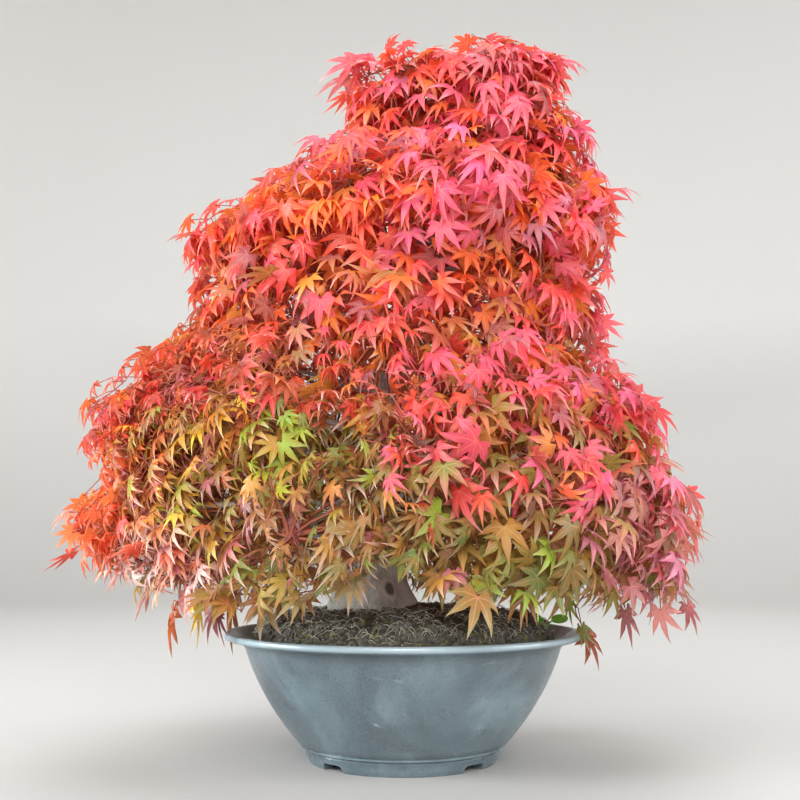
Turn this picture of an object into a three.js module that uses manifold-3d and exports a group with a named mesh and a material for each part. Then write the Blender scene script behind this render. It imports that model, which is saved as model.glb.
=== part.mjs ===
// A Japanese maple bonsai in autumn leaf, standing in a round bowl pot. Millimetres, +Z up, seen from -Y.
// It is modelled about the pot's axis, and the finished group is then moved, so that the origin lies on the
// table under the middle of the whole width and depth.
import * as THREE from "three";
import { mergeVertices } from "three/addons/utils/BufferGeometryUtils.js";
import Module from "manifold-3d";

const wasm = await Module();
wasm.setup();

const GOLDEN_ANGLE = Math.PI * (3 - Math.sqrt(5));
const GAP = 0.4; // clearance between pieces that lie against each other

// The pot: a bowl on a foot ring, with a flared rim
const POT_SIDES = 34;
const POT_HEIGHT = 124;
const RIM_RADIUS = 175;
const RIM_EDGE = 6; // height of the rim's outer edge
const NECK_RADIUS = 155; // where the wall turns out into the rim
const NECK_HEIGHT = 109;
const BOWL_FOOT_RADIUS = 103;
const BOWL_FOOT_HEIGHT = 19;
const WALL = 6;
const FLOOR_UNDERSIDE = 8;
const FLOOR_TOP = 15;
const FOOT_RADIUS = 92;
const FOOT_WIDTH = 11;
const FOOT_NOTCH_WIDTH = 26;
const FOOT_NOTCH_HEIGHT = 7;
const DRAIN_RADIUS = 18;

// The screen over the drain hole
const SCREEN_SIDE = 48;
const SCREEN_THICKNESS = 1.2;
const SCREEN_HOLES = 4; // along each side
const SCREEN_BAR = 2.4;

// The soil: a mound that stands a little above the rim
const SOIL_TOP = 149;
const SOIL_WAVE = 1.6;

// The low weed at the soil's edge
const WEED_ROOT = [131, -42, 122];
const WEED_LEAVES = [
  { at: [148, -54, 140], radius: 8 },
  { at: [129, -58, 139], radius: 4 },
];
const WEED_STEM_RADIUS = 1.2;
const WEED_LEAF_THICKNESS = 0.9;

// The tree: its trunk's route from inside the soil to the tip
const TRUNK_ROUTE = [
  [-31, 5, 112],
  [-31, 5, 150],
  [-37, 3, 215],
  [-38, -2, 285],
  [-20, -6, 365],
  [8, 0, 450],
  [30, 8, 540],
  [56, 4, 630],
  [74, 0, 690],
];
const TRUNK_SIDES = 12;
const TRUNK_RINGS = 12;
const TRUNK_RADIUS = 34; // where it leaves the soil
const TRUNK_TIP_RADIUS = 4;
const ROOT_FLARE = 15; // how much wider the foot's ridges are
const ROOT_RIDGES = 5;
const LOWEST_LIMB = 0.22; // along the trunk's route
const LIMB_RISE = 0.3; // how steeply a limb climbs, where it has the choice
const LIMB_SIDES = 4;
const TWIG_RADIUS = 2.6;

// The crown's outline: at each height, how far the leaf tips reach to the left and right of the pot's axis
const CROWN = [
  { z: 168, left: -338, right: 296 },
  { z: 205, left: -336, right: 301 },
  { z: 265, left: -325, right: 299 },
  { z: 325, left: -315, right: 274 },
  { z: 385, left: -268, right: 232 },
  { z: 445, left: -226, right: 218 },
  { z: 480, left: -214, right: 208 },
  { z: 515, left: -236, right: 222 },
  { z: 550, left: -200, right: 240 },
  { z: 600, left: -134, right: 204 },
  { z: 650, left: -96, right: 197 },
  { z: 700, left: -82, right: 180 },
  { z: 750, left: -10, right: 160 },
  { z: 788, left: 60, right: 100 },
];
const CROWN_DEPTH = 0.86; // of its width

// The sprays that make up the crown
const SPRAYS = 43;
const FIRST_SPRAY = 2.1; // azimuth
const LOWEST_SPRAY = 226;
const LOWEST_SPRAY_WAVE = 24;
const HIGHEST_SPRAY = 777;
const SPRAY_SPACING = 150; // what the sprays push apart to
const SPRAY_INSET = 44; // from the outline to the middle of a spray
const CORE_RADIUS = 45;
const CORE_RISE = 15; // half the thickness of a spray's core

// A spray's leaves: where on the core each one stands, as shares of its radius, and its angles in degrees
const LEAF_FAN = [
  { aside: 0.08, along: 0.44, turn: 4, lift: 8 },
  { aside: -0.48, along: 0.16, turn: -52, lift: 14 },
  { aside: 0.5, along: 0.12, turn: 48, lift: 16 },
  { aside: -0.24, along: -0.28, turn: -22, lift: 34 },
  { aside: 0.28, along: -0.4, turn: 24, lift: 40 },
  { aside: 0.16, along: -0.64, turn: 104, lift: 12 },
];
const LEAF_STAND = 6; // from a spray's core up to its leaves
const LEAF_LENGTH = 86;
const LEAF_THICKNESS = 1;
const LEAF_DROOP = 13; // how far the tip of the middle lobe bends down
const LEAF_ROOT = 0.16; // length of the stalk's stub behind the blade, as a share of the leaf
const LEAF_ROOT_DIP = 0.24; // how far the stub dips into the core, likewise
const LOBES = [
  { angle: 98, reach: 0.62, cleft: 0.4 },
  { angle: 49, reach: 0.9, cleft: 0.45 },
  { angle: 0, reach: 1 },
];
const CLEFT_ANGLE = 24; // from a lobe's midrib to the cleft beside it

// What a leaf may change to come clear of its neighbours, the least change first
const LEAF_TRIES = [1, 0.86, 0.72].flatMap((size) =>
  [0, 12, -10, 24, 36].flatMap((lift) =>
    [0, 14, -14, 28, -28].map((turn) => ({ size, lift, turn })),
  ),
);

// The sprays' autumn colours
const TONES = {
  scarlet: 0xe2452f,
  rose: 0xe0506a,
  orange: 0xe8722e,
  amber: 0xc98a34,
  olive: 0x8f9a4a,
  mauve: 0xb77a84,
};

const vector = (p) => new THREE.Vector3(...p);
const radians = THREE.MathUtils.degToRad;

// A repeatable source of numbers from 0 to 1.
function seeded(seed) {
  let state = seed;
  return () => {
    state = (state + 0x6d2b79f5) | 0;
    let mixed = Math.imul(state ^ (state >>> 15), 1 | state);
    mixed = (mixed + Math.imul(mixed ^ (mixed >>> 7), 61 | mixed)) ^ mixed;
    return ((mixed ^ (mixed >>> 14)) >>> 0) / 4294967296;
  };
}

function solidOf(geometry) {
  const bare = new THREE.BufferGeometry();
  const flat = geometry.index ? geometry.toNonIndexed() : geometry;
  bare.setAttribute("position", flat.getAttribute("position"));
  const merged = mergeVertices(bare, 1e-3);
  return new wasm.Manifold(
    new wasm.Mesh({
      numProp: 3,
      vertProperties: merged.attributes.position.array,
      triVerts: new Uint32Array(merged.index.array),
    }),
  );
}

function geometryOf(solid) {
  const mesh = solid.getMesh();
  const positions = new Float32Array(mesh.numVert * 3);
  for (let i = 0; i < mesh.numVert; i++) {
    const first = i * mesh.numProp;
    positions.set(mesh.vertProperties.subarray(first, first + 3), i * 3);
  }
  const geometry = new THREE.BufferGeometry();
  geometry.setAttribute("position", new THREE.BufferAttribute(positions, 3));
  geometry.setIndex(new THREE.BufferAttribute(mesh.triVerts, 1));
  geometry.computeVertexNormals();
  return geometry;
}

function joined(solids) {
  return solids.reduce((all, solid) => all.add(solid));
}

function largestBody(solid) {
  return solid.decompose().reduce((a, b) => (a.volume() > b.volume() ? a : b));
}

const boxed = (solid) => ({ solid, box: solid.boundingBox() });

function boxesMeet(a, b) {
  return [0, 1, 2].every((i) => a.min[i] <= b.max[i] && b.min[i] <= a.max[i]);
}

function isClear(solid, others) {
  const box = solid.boundingBox();
  const near = others.filter((other) => boxesMeet(box, other.box));
  return near.every((other) => solid.intersect(other.solid).volume() < 1e-6);
}

// A profile of [radius, height] points turned about the Z axis.
function turned(profile) {
  const points = profile.map(([r, z]) => new THREE.Vector2(r, z));
  return new THREE.LatheGeometry(points, POT_SIDES).rotateX(Math.PI / 2);
}

function curve(from, bend, to, steps) {
  const [a, b, c] = [from, bend, to].map((p) => new THREE.Vector2(...p));
  return new THREE.QuadraticBezierCurve(a, b, c).getPoints(steps).map((p) => [p.x, p.y]);
}

// The bowl's inside, from the floor's edge up to the rim, drawn in by inset.
function innerWall(inset) {
  const floorEdge = [BOWL_FOOT_RADIUS - WALL - 12 - inset, FLOOR_TOP + inset];
  const cove = [BOWL_FOOT_RADIUS - WALL - inset, BOWL_FOOT_HEIGHT + 4];
  const bend = [135 - inset, 61];
  const neck = [NECK_RADIUS - WALL - inset, NECK_HEIGHT - 1];
  return [floorEdge, ...curve(cove, bend, neck, 3)];
}

function makePot() {
  const foot = [BOWL_FOOT_RADIUS, BOWL_FOOT_HEIGHT];
  const neck = [NECK_RADIUS, NECK_HEIGHT];
  const profile = [
    [0, FLOOR_UNDERSIDE],
    [FOOT_RADIUS - FOOT_WIDTH - 2, FLOOR_UNDERSIDE],
    [FOOT_RADIUS - FOOT_WIDTH, 0],
    [FOOT_RADIUS, 0],
    [FOOT_RADIUS + 4.5, 12],
    [FOOT_RADIUS + 7.5, 14.5],
    ...curve(foot, [140, 61], neck, 4),
    [RIM_RADIUS - 4, POT_HEIGHT - RIM_EDGE - 1],
    [RIM_RADIUS, POT_HEIGHT - RIM_EDGE + 1],
    [RIM_RADIUS, POT_HEIGHT - 1.5],
    [RIM_RADIUS - 2, POT_HEIGHT],
    [RIM_RADIUS - 6, POT_HEIGHT - 1],
    ...innerWall(0).reverse(),
    [0, FLOOR_TOP],
  ];
  const drain = new THREE.CylinderGeometry(DRAIN_RADIUS, DRAIN_RADIUS, 3 * FLOOR_TOP, 24);
  const pot = solidOf(turned(profile)).subtract(solidOf(drain.rotateX(Math.PI / 2)));
  return footTunnels().reduce((left, tunnel) => left.subtract(tunnel), pot);
}

// The two crossing tunnels that cut the four notches out of the foot ring.
function footTunnels() {
  const half = FOOT_NOTCH_WIDTH / 2;
  const shoulder = FOOT_NOTCH_HEIGHT - 2;
  const arch = new THREE.Shape(
    [
      [-half, -5],
      [half, -5],
      [half - 3, shoulder],
      [half - 6, FOOT_NOTCH_HEIGHT],
      [6 - half, FOOT_NOTCH_HEIGHT],
      [3 - half, shoulder],
    ].map(([x, y]) => new THREE.Vector2(x, y)),
  );
  const length = 2 * FOOT_RADIUS + 60;
  return [45, -45].map((turn) => {
    const tunnel = new THREE.ExtrudeGeometry(arch, { depth: length, bevelEnabled: false });
    tunnel.translate(0, 0, -length / 2).rotateX(Math.PI / 2).rotateZ(radians(turn));
    return solidOf(tunnel);
  });
}

function makeScreen() {
  const sheet = new THREE.BoxGeometry(SCREEN_SIDE, SCREEN_SIDE, SCREEN_THICKNESS);
  const pitch = (SCREEN_SIDE - SCREEN_BAR) / SCREEN_HOLES;
  const side = pitch - SCREEN_BAR;
  const height = FLOOR_TOP + GAP + SCREEN_THICKNESS / 2;
  let screen = solidOf(sheet.translate(0, 0, height));
  for (let i = 0; i < SCREEN_HOLES; i++) {
    for (let j = 0; j < SCREEN_HOLES; j++) {
      const [x, y] = [i, j].map((step) => (step - (SCREEN_HOLES - 1) / 2) * pitch);
      const hole = new THREE.BoxGeometry(side, side, 4 * SCREEN_THICKNESS);
      screen = screen.subtract(solidOf(hole.translate(x, y, height)));
    }
  }
  return screen;
}

// The soil fills the bowl. The screen lies in a pocket under it, and the stems stand in holes in it.
function makeSoil(stems) {
  const profile = [
    [0, FLOOR_TOP + GAP],
    ...innerWall(GAP),
    [NECK_RADIUS - 5, NECK_HEIGHT + 2],
    [146, 124],
    [130, 137],
    [75, 144],
    [0, SOIL_TOP],
  ];
  const mound = turned(profile);
  const position = mound.getAttribute("position");
  for (let i = 0; i < position.count; i++) {
    const [x, y, z] = [position.getX(i), position.getY(i), position.getZ(i)];
    if (z < NECK_HEIGHT + 6) continue;
    const wave = Math.sin(x / 19 + 1) * Math.cos(y / 23) + 0.6 * Math.sin((x + y) / 11);
    position.setZ(i, z + SOIL_WAVE * wave);
  }
  const side = SCREEN_SIDE + 2 * GAP;
  const pocket = new THREE.BoxGeometry(side, side, 2 * (SCREEN_THICKNESS + GAP));
  const soil = solidOf(mound).subtract(solidOf(pocket.translate(0, 0, FLOOR_TOP + GAP)));
  return stems.reduce((left, stem) => left.subtract(stem), soil);
}

// A limb through the given stations, each { at, radius }, with flat ends.
function limb(stations) {
  const steps = stations.length - 1;
  const geometry = new THREE.CylinderGeometry(1, 1, 1, LIMB_SIDES, steps);
  const position = geometry.getAttribute("position");
  const aslant = new THREE.Vector3(0.31, 0.95, 0.05);
  const frames = stations.map(({ at, radius }, i) => {
    const before = stations[Math.max(i - 1, 0)].at;
    const after = stations[Math.min(i + 1, steps)].at;
    const along = after.clone().sub(before).normalize();
    const aside = aslant.clone().cross(along).normalize();
    return { at, radius, aside, across: along.clone().cross(aside) };
  });
  for (let i = 0; i < position.count; i++) {
    const { at, radius, aside, across } = frames[Math.round((position.getY(i) + 0.5) * steps)];
    const point = at.clone().addScaledVector(aside, position.getZ(i) * radius);
    point.addScaledVector(across, position.getX(i) * radius);
    position.setXYZ(i, point.x, point.y, point.z);
  }
  return solidOf(geometry);
}

// The weed: round leaves on bent stems from one root. extra makes its stems thicker and its root deeper.
function makeWeed(extra) {
  const root = vector(WEED_ROOT);
  root.z -= extra;
  const parts = WEED_LEAVES.flatMap(({ at, radius }) => {
    const leafStalk = vector(at);
    const bend = root.clone().lerp(leafStalk, 0.5);
    bend.z += 4;
    const stem = limb(
      [root, bend, leafStalk].map((point) => ({ at: point, radius: WEED_STEM_RADIUS + extra })),
    );
    const leaf = new THREE.CylinderGeometry(radius, radius, WEED_LEAF_THICKNESS + 2 * extra, 9);
    return [stem, solidOf(leaf.rotateX(radians(-35)).translate(...at))];
  });
  return joined(parts);
}

const trunkLine = new THREE.CatmullRomCurve3(TRUNK_ROUTE.map(vector));
const soilLine = TRUNK_ROUTE[1][2];
const trunkTop = TRUNK_ROUTE[TRUNK_ROUTE.length - 1][2];

function trunkRadius(z) {
  const rise = THREE.MathUtils.clamp((z - soilLine) / (trunkTop - soilLine), 0, 1);
  return TRUNK_TIP_RADIUS + (TRUNK_RADIUS - TRUNK_TIP_RADIUS) * (1 - rise) ** 1.15;
}

// The trunk, whose foot spreads in ridges that run out into the roots. extra makes it thicker all over.
function makeTrunk(extra) {
  const geometry = new THREE.CylinderGeometry(1, 1, 1, TRUNK_SIDES, TRUNK_RINGS);
  const position = geometry.getAttribute("position");
  for (let i = 0; i < position.count; i++) {
    const share = position.getY(i) + 0.5;
    const centre = trunkLine.getPoint(share ** 1.5);
    const [x, y] = [position.getX(i), -position.getZ(i)];
    const around = Math.atan2(y, x);
    const near = Math.exp(-Math.max(centre.z - soilLine, 0) / 26);
    const ridge = 0.65 + 0.35 * Math.cos(ROOT_RIDGES * around + 0.6);
    const swell = 1 + 0.05 * Math.sin(centre.z / 31 + 2 * around);
    const radius = trunkRadius(centre.z) * swell + ROOT_FLARE * near * ridge + extra;
    const deeper = share === 0 ? extra : 0;
    position.setXYZ(i, centre.x + x * radius, centre.y + y * radius, centre.z - deeper);
  }
  return solidOf(geometry);
}

// How far the leaf tips reach at a height, as the middle and the half width and depth of an oval.
function crownAt(z) {
  const last = CROWN.length - 1;
  const height = THREE.MathUtils.clamp(z, CROWN[0].z, CROWN[last].z);
  const upper = Math.max(1, CROWN.findIndex((row) => row.z >= height));
  const [low, high] = [CROWN[upper - 1], CROWN[upper]];
  const share = THREE.MathUtils.smoothstep(height, low.z, high.z);
  const left = THREE.MathUtils.lerp(low.left, high.left, share);
  const right = THREE.MathUtils.lerp(low.right, high.right, share);
  const half = (right - left) / 2;
  return { middle: (left + right) / 2, half, depth: half * CROWN_DEPTH };
}

function crownPoint(z, azimuth) {
  const { middle, half, depth } = crownAt(z);
  return new THREE.Vector3(middle + half * Math.cos(azimuth), depth * Math.sin(azimuth), z);
}

function crownNormal(z, azimuth) {
  const around = crownPoint(z, azimuth + 0.05).sub(crownPoint(z, azimuth - 0.05));
  const up = crownPoint(z + 18, azimuth).sub(crownPoint(z - 18, azimuth));
  return around.cross(up).normalize();
}

// The sprays start along a rising spiral and then push each other apart, until they are evenly spread.
function sprayPlaces() {
  const places = Array.from({ length: SPRAYS }, (_, k) => {
    const rise = 1 - Math.sqrt(1 - (k + 0.5) / SPRAYS);
    const z = THREE.MathUtils.lerp(LOWEST_SPRAY, HIGHEST_SPRAY, rise);
    return { z, azimuth: FIRST_SPRAY + k * GOLDEN_ANGLE };
  });
  for (let round = 0; round < 120; round++) {
    const points = places.map((place) => crownPoint(place.z, place.azimuth));
    places.forEach((place, i) => {
      const push = new THREE.Vector3();
      points.forEach((other, j) => {
        const apart = points[i].clone().sub(other);
        const near = SPRAY_SPACING - apart.length();
        if (i !== j && near > 0) push.addScaledVector(apart.normalize(), 0.2 * near);
      });
      const around = crownPoint(place.z, place.azimuth + 0.1).sub(points[i]);
      const up = crownPoint(place.z + 10, place.azimuth).sub(points[i]);
      place.azimuth += (0.1 * push.dot(around)) / around.lengthSq();
      const z = place.z + (10 * push.dot(up)) / up.lengthSq();
      const lowest = LOWEST_SPRAY + LOWEST_SPRAY_WAVE * Math.sin(5 * place.azimuth);
      place.z = THREE.MathUtils.clamp(z, lowest, HIGHEST_SPRAY);
    });
  }
  return places;
}

// Each spray's middle, with its outward, downhill and sideways directions.
function spraySites() {
  return sprayPlaces().map(({ z, azimuth }) => {
    const outward = crownNormal(z, azimuth);
    const centre = crownPoint(z, azimuth).addScaledVector(outward, -SPRAY_INSET);
    const downhill = new THREE.Vector3(Math.cos(azimuth), Math.sin(azimuth), -1.2);
    downhill.addScaledVector(outward, -downhill.dot(outward)).normalize();
    const sideways = downhill.clone().cross(outward);
    return { centre, outward, downhill, sideways, scale: 1 };
  });
}

// A spray's core: a low dome of twigs and old leaves that the outer leaves stand out of.
function sprayCore(site, extra) {
  const core = new THREE.IcosahedronGeometry(1, 0);
  const radius = CORE_RADIUS * site.scale + extra;
  core.scale(radius, radius, CORE_RISE * site.scale + extra);
  const stand = new THREE.Matrix4().makeBasis(site.sideways, site.downhill, site.outward);
  return solidOf(core.applyMatrix4(stand.setPosition(site.centre)));
}

// The cores, each shrunk a little where it would meet an earlier one.
function sprayCores(sites) {
  const cores = [];
  for (const site of sites) {
    while (!isClear(sprayCore(site, GAP), cores)) site.scale *= 0.95;
    cores.push(boxed(sprayCore(site, 0)));
  }
  return cores;
}

// One blade lying along +Y with its stalk's end at the origin. The stub behind it dips, to be sunk in.
function mapleBlade(length, thickness) {
  const polar = (degrees, reach) =>
    new THREE.Vector2(Math.sin(radians(degrees)), Math.cos(radians(degrees))).multiplyScalar(reach * length);
  const half = LOBES.flatMap(({ angle, reach, cleft }) => {
    const tip = polar(angle, reach);
    return cleft ? [tip, polar(angle - CLEFT_ANGLE, cleft)] : [tip];
  });
  const mirrored = half.slice(0, -1).reverse().map((p) => new THREE.Vector2(-p.x, p.y));
  const root = new THREE.Vector2(0, -LEAF_ROOT * length);
  const outline = new THREE.Shape([root, ...half, ...mirrored]);
  const blade = new THREE.ExtrudeGeometry(outline, { depth: thickness, bevelEnabled: false });
  const position = blade.getAttribute("position");
  for (let i = 0; i < position.count; i++) {
    const [x, y, z] = [position.getX(i), position.getY(i), position.getZ(i)];
    const bend = -LEAF_DROOP * (Math.hypot(x, y) / length) ** 2;
    const isRoot = x === 0 && y < 0;
    const dip = isRoot ? -LEAF_ROOT_DIP * length : 0;
    position.setZ(i, z - thickness / 2 + bend + dip);
  }
  return blade;
}

// The leaves of one spray. Each is tried in several ways until it is clear of what stands already.
function sprayLeaves(site, index, standing) {
  const random = seeded(1000 + index);
  const hand = index % 2 ? 1 : -1;
  const radius = CORE_RADIUS * site.scale;
  const leaves = [];
  for (const { aside, along, turn, lift } of LEAF_FAN) {
    const dome = CORE_RISE * site.scale * (1 - 1.5 * (aside ** 2 + along ** 2));
    const foot = site.centre.clone().addScaledVector(site.sideways, hand * aside * radius);
    foot.addScaledVector(site.downhill, along * radius);
    foot.addScaledVector(site.outward, LEAF_STAND + dome);
    const length = LEAF_LENGTH * (0.9 + 0.2 * random());
    const heading = hand * turn + 16 * (random() - 0.5);
    for (const change of LEAF_TRIES) {
      const stand = leafStand(site, heading + change.turn, lift + change.lift).setPosition(foot);
      const blade = (thickness) =>
        solidOf(mapleBlade(length * change.size, thickness).applyMatrix4(stand));
      if (!isClear(blade(LEAF_THICKNESS + 2 * GAP), standing)) continue;
      const leaf = blade(LEAF_THICKNESS);
      if (!isClear(leaf, leaves)) continue;
      leaves.push(boxed(leaf));
      break;
    }
  }
  return leaves;
}

// A leaf's stance: turned in degrees from downhill, and lifted in degrees off the crown's surface.
function leafStand(site, heading, lift) {
  const midrib = site.downhill.clone().multiplyScalar(Math.cos(radians(heading)));
  midrib.addScaledVector(site.sideways, Math.sin(radians(heading)));
  midrib.multiplyScalar(Math.cos(radians(lift)));
  midrib.addScaledVector(site.outward, Math.sin(radians(lift)));
  const across = midrib.clone().cross(site.outward).normalize();
  return new THREE.Matrix4().makeBasis(across, midrib, across.clone().cross(midrib));
}

// Limbs that grow to each spray from the wood that lies best for it, thicker the more they carry.
function growLimbs(sites) {
  const trunkJoints = Array.from({ length: 25 }, (_, i) => {
    const at = trunkLine.getPoint(THREE.MathUtils.lerp(LOWEST_LIMB, 1, i / 24));
    return { at, load: (trunkRadius(at.z) / TWIG_RADIUS) ** 2 };
  });
  const fromTrunk = (point) => Math.min(...trunkJoints.map((joint) => joint.at.distanceTo(point)));
  const nearestFirst = [...sites].sort((a, b) => fromTrunk(a.centre) - fromTrunk(b.centre));
  const forks = [];
  const limbs = nearestFirst.map(({ centre, outward }) => {
    const cost = ({ at, start }) => {
      const run = at.distanceTo(centre);
      const slant = Math.abs(centre.z - at.z - LIMB_RISE * run);
      return run + 1.4 * slant + (run < CORE_RADIUS ? 200 : 0) + (start ? 12 : 0);
    };
    const start = [...trunkJoints, ...forks].reduce((a, b) => (cost(b) < cost(a) ? b : a));
    const at = start.at.clone().lerp(centre, 0.5).addScaledVector(outward, -8);
    at.z += 0.06 * start.at.distanceTo(centre);
    const fork = { at, load: 0, start };
    forks.push(fork);
    for (let joint = fork; joint.start; joint = joint.start) joint.load += 1;
    return { fork, end: centre.clone().addScaledVector(outward, -2) };
  });
  const thickness = ({ load }) => TWIG_RADIUS * Math.sqrt(load);
  return limbs.map(({ fork, end }) => {
    const base = Math.min(0.8 * thickness(fork.start), 1.25 * thickness({ load: fork.load + 0.6 }));
    return limb([
      { at: fork.start.at, radius: base },
      { at: fork.at, radius: thickness(fork) },
      { at: end, radius: 0.8 * TWIG_RADIUS },
    ]);
  });
}

// The colours run from rose and scarlet at the top, through orange, to amber, olive and mauve below.
function toneAt({ x, z }) {
  if (z > 560) return x > 60 ? "rose" : "scarlet";
  if (z < 290 && x > 190) return "mauve";
  if (z < 300 && x > -60) return "olive";
  if (z < 380 && x < 0) return x < -230 ? "scarlet" : "amber";
  return x > 120 ? "rose" : "orange";
}

const bonsai = new THREE.Group();
bonsai.name = "japanese_maple_bonsai";

function addPiece(name, solid, color, roughness) {
  const material = new THREE.MeshStandardMaterial({ color, roughness, metalness: 0 });
  const mesh = new THREE.Mesh(geometryOf(solid), material);
  mesh.name = name;
  bonsai.add(mesh);
}

const sites = spraySites();
const cores = sprayCores(sites);
const limbs = joined([makeTrunk(0), ...growLimbs(sites)]);
const tree = largestBody(sites.reduce((left, site) => left.subtract(sprayCore(site, GAP)), limbs));
const pot = makePot();
const soil = makeSoil([makeTrunk(GAP), makeWeed(GAP)]);
const weed = makeWeed(0);

addPiece("pot", pot, 0x8c9ea0, 0.55);
addPiece("drain_screen", makeScreen(), 0x22272a, 0.6);
addPiece("soil", soil, 0x4a3d2e, 1);
addPiece("weed", weed, 0x5f9a2c, 0.6);
addPiece("tree", tree, 0xa39a90, 0.8);

const standing = [tree, pot, soil, weed].map(boxed);
sites.forEach((site, index) => {
  const otherCores = cores.filter((core) => core !== cores[index]);
  const leaves = sprayLeaves(site, index, [...standing, ...otherCores]);
  standing.push(...leaves);
  const spray = largestBody(joined([cores[index].solid, ...leaves.map((leaf) => leaf.solid)]));
  addPiece(`spray_${String(index + 1).padStart(2, "0")}`, spray, TONES[toneAt(site.centre)], 0.5);
});

const middle = new THREE.Box3().setFromObject(bonsai).getCenter(new THREE.Vector3());
bonsai.children.forEach((mesh) => mesh.position.set(-middle.x, -middle.y, 0));

export default bonsai;
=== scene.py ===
import bisect
import math
import random

import bmesh
import bpy
from mathutils import Matrix, Vector
from mathutils.bvhtree import BVHTree


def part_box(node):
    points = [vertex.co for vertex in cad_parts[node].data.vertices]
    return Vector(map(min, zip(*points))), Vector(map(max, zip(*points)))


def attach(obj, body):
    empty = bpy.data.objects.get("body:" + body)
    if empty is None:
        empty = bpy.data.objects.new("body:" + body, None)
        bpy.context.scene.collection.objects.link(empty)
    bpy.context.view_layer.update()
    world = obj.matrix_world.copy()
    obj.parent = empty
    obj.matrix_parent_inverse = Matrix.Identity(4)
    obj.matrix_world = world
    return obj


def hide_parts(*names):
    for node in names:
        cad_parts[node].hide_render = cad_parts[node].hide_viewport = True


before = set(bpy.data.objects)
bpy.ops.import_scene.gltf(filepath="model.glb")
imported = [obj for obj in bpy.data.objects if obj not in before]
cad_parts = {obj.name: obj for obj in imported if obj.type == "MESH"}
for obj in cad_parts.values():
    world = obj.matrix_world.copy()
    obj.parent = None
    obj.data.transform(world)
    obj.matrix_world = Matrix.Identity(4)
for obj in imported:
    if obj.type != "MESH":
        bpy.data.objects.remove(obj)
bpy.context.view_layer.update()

# The camera stands in front of the pot, at about the height of the lowest leaves, and looks slightly up.
# It has a standard lens, so the rim shows as a thin ellipse. All sizes below are in millimetres about the
# pot's axis, and MM and POT_AXIS bring them into the part's frame.
MM = 0.001
CAMERA_PLACE = (-3, -1180, 222)
CAMERA_TILT = math.radians(6.33)
CAMERA_LENS = 52.8
pot_low, pot_high = (Vector(corner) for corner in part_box("pot"))
POT_AXIS = Vector(((pot_low.x + pot_high.x) / 2, (pot_low.y + pot_high.y) / 2, 0))


def placed(point):
    """A point in millimetres about the pot's axis, in the part's frame."""
    return POT_AXIS + Vector(point) * MM


bpy.ops.object.select_all(action="DESELECT")
bpy.ops.object.camera_add(location=placed(CAMERA_PLACE), rotation=(math.pi / 2 + CAMERA_TILT, 0, 0))
camera = bpy.context.object
camera.name = "camera"
camera.data.lens = CAMERA_LENS
bpy.context.scene.camera = camera

# The pot: a round bowl of grey-blue stoneware, thrown on a wheel, with a flared lip, a foot band and a drain
# hole. Four notches are cut through the foot ring so that water runs out. Its wall is 6 mm thick.
POT_SEGMENTS = 144
DRAIN_RADIUS = 18
FLOOR_UNDERSIDE = 8
NOTCH_LENGTH, NOTCH_WIDTH, NOTCH_HEIGHT = 250, 26, 7
NOTCH_SINK = 12
NOTCH_ROUNDING = 5


def bezier(start, bend, end, steps):
    """Points along a curve from start to end that leans towards bend."""
    points = []
    for step in range(steps + 1):
        share = step / steps
        a, b, c = (1 - share) ** 2, 2 * share * (1 - share), share**2
        points.append(tuple(a * p + b * q + c * r for p, q, r in zip(start, bend, end)))
    return points


FOOT_PROFILE = [(79, 8), (80.6, 6.5), (81, 1), (82, 0), (91, 0), (92, 1), (94, 6), (96.2, 11.2), (97.2, 12.1)]
BAND_PROFILE = [(96.6, 13), (97.4, 13.8), (99.4, 14.2), (100.6, 15.3), (100.6, 16.4), (99.7, 17.2),
                (100.4, 18)]
LIP_PROFILE = [(156.4, 111.2), (160, 113.8), (166, 115.9), (171, 117.1), (173.6, 117.7), (174.7, 118.5)]
LIP_PROFILE += [(175, 119.6), (175, 121.6), (174.6, 122.9), (173.6, 123.7), (172.2, 124), (170.4, 123.6)]
LIP_PROFILE += [(168.6, 122.4), (165, 119.6), (159, 115.1), (153, 110.8), (150, 108.6)]
FLOOR_PROFILE = [(93, 18.6), (86, 15.6), (80, 15), (19, 15), (DRAIN_RADIUS, 14)]
POT_PROFILE = FOOT_PROFILE + BAND_PROFILE + bezier((103, 19), (140, 61), (155, 109), 22) + LIP_PROFILE
POT_PROFILE += bezier((149, 108), (135, 61), (97, 23), 16) + FLOOR_PROFILE


def hold(*pieces):
    """Selects these pieces and nothing else, with the first one active."""
    bpy.ops.object.select_all(action="DESELECT")
    for piece in pieces:
        piece.select_set(True)
    bpy.context.view_layer.objects.active = pieces[0] if pieces else None


def start_piece(primitive, name, **how):
    """Adds a primitive with nothing else selected, and opens it for shaping."""
    hold()
    primitive(**how)
    piece = bpy.context.object
    piece.name = piece.data.name = name
    bpy.ops.object.mode_set(mode="EDIT")
    return piece


def start_disc(name, sides, radius, centre, fill="NOTHING", **how):
    """Starts a piece as a flat ring or disc, in millimetres."""
    how.update(vertices=sides, radius=radius * MM, location=placed(centre), fill_type=fill)
    return start_piece(bpy.ops.mesh.primitive_circle_add, name, **how)


def pick(kind, test):
    """Selects the open mesh's verts, edges or faces that pass the test, and nothing else."""
    bpy.ops.mesh.select_mode(type={"verts": "VERT", "edges": "EDGE", "faces": "FACE"}[kind])
    bpy.ops.mesh.select_all(action="DESELECT")
    shape = bmesh.from_edit_mesh(bpy.context.object.data)
    for part in getattr(shape, kind):
        part.select_set(bool(test(part)))
    shape.select_flush_mode()
    bmesh.update_edit_mesh(bpy.context.object.data)


def pick_all():
    bpy.ops.mesh.select_all(action="SELECT")


def pull_out(shift):
    """Extrudes what is selected by that much."""
    bpy.ops.mesh.extrude_region_move(TRANSFORM_OT_translate={"value": shift})


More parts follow.
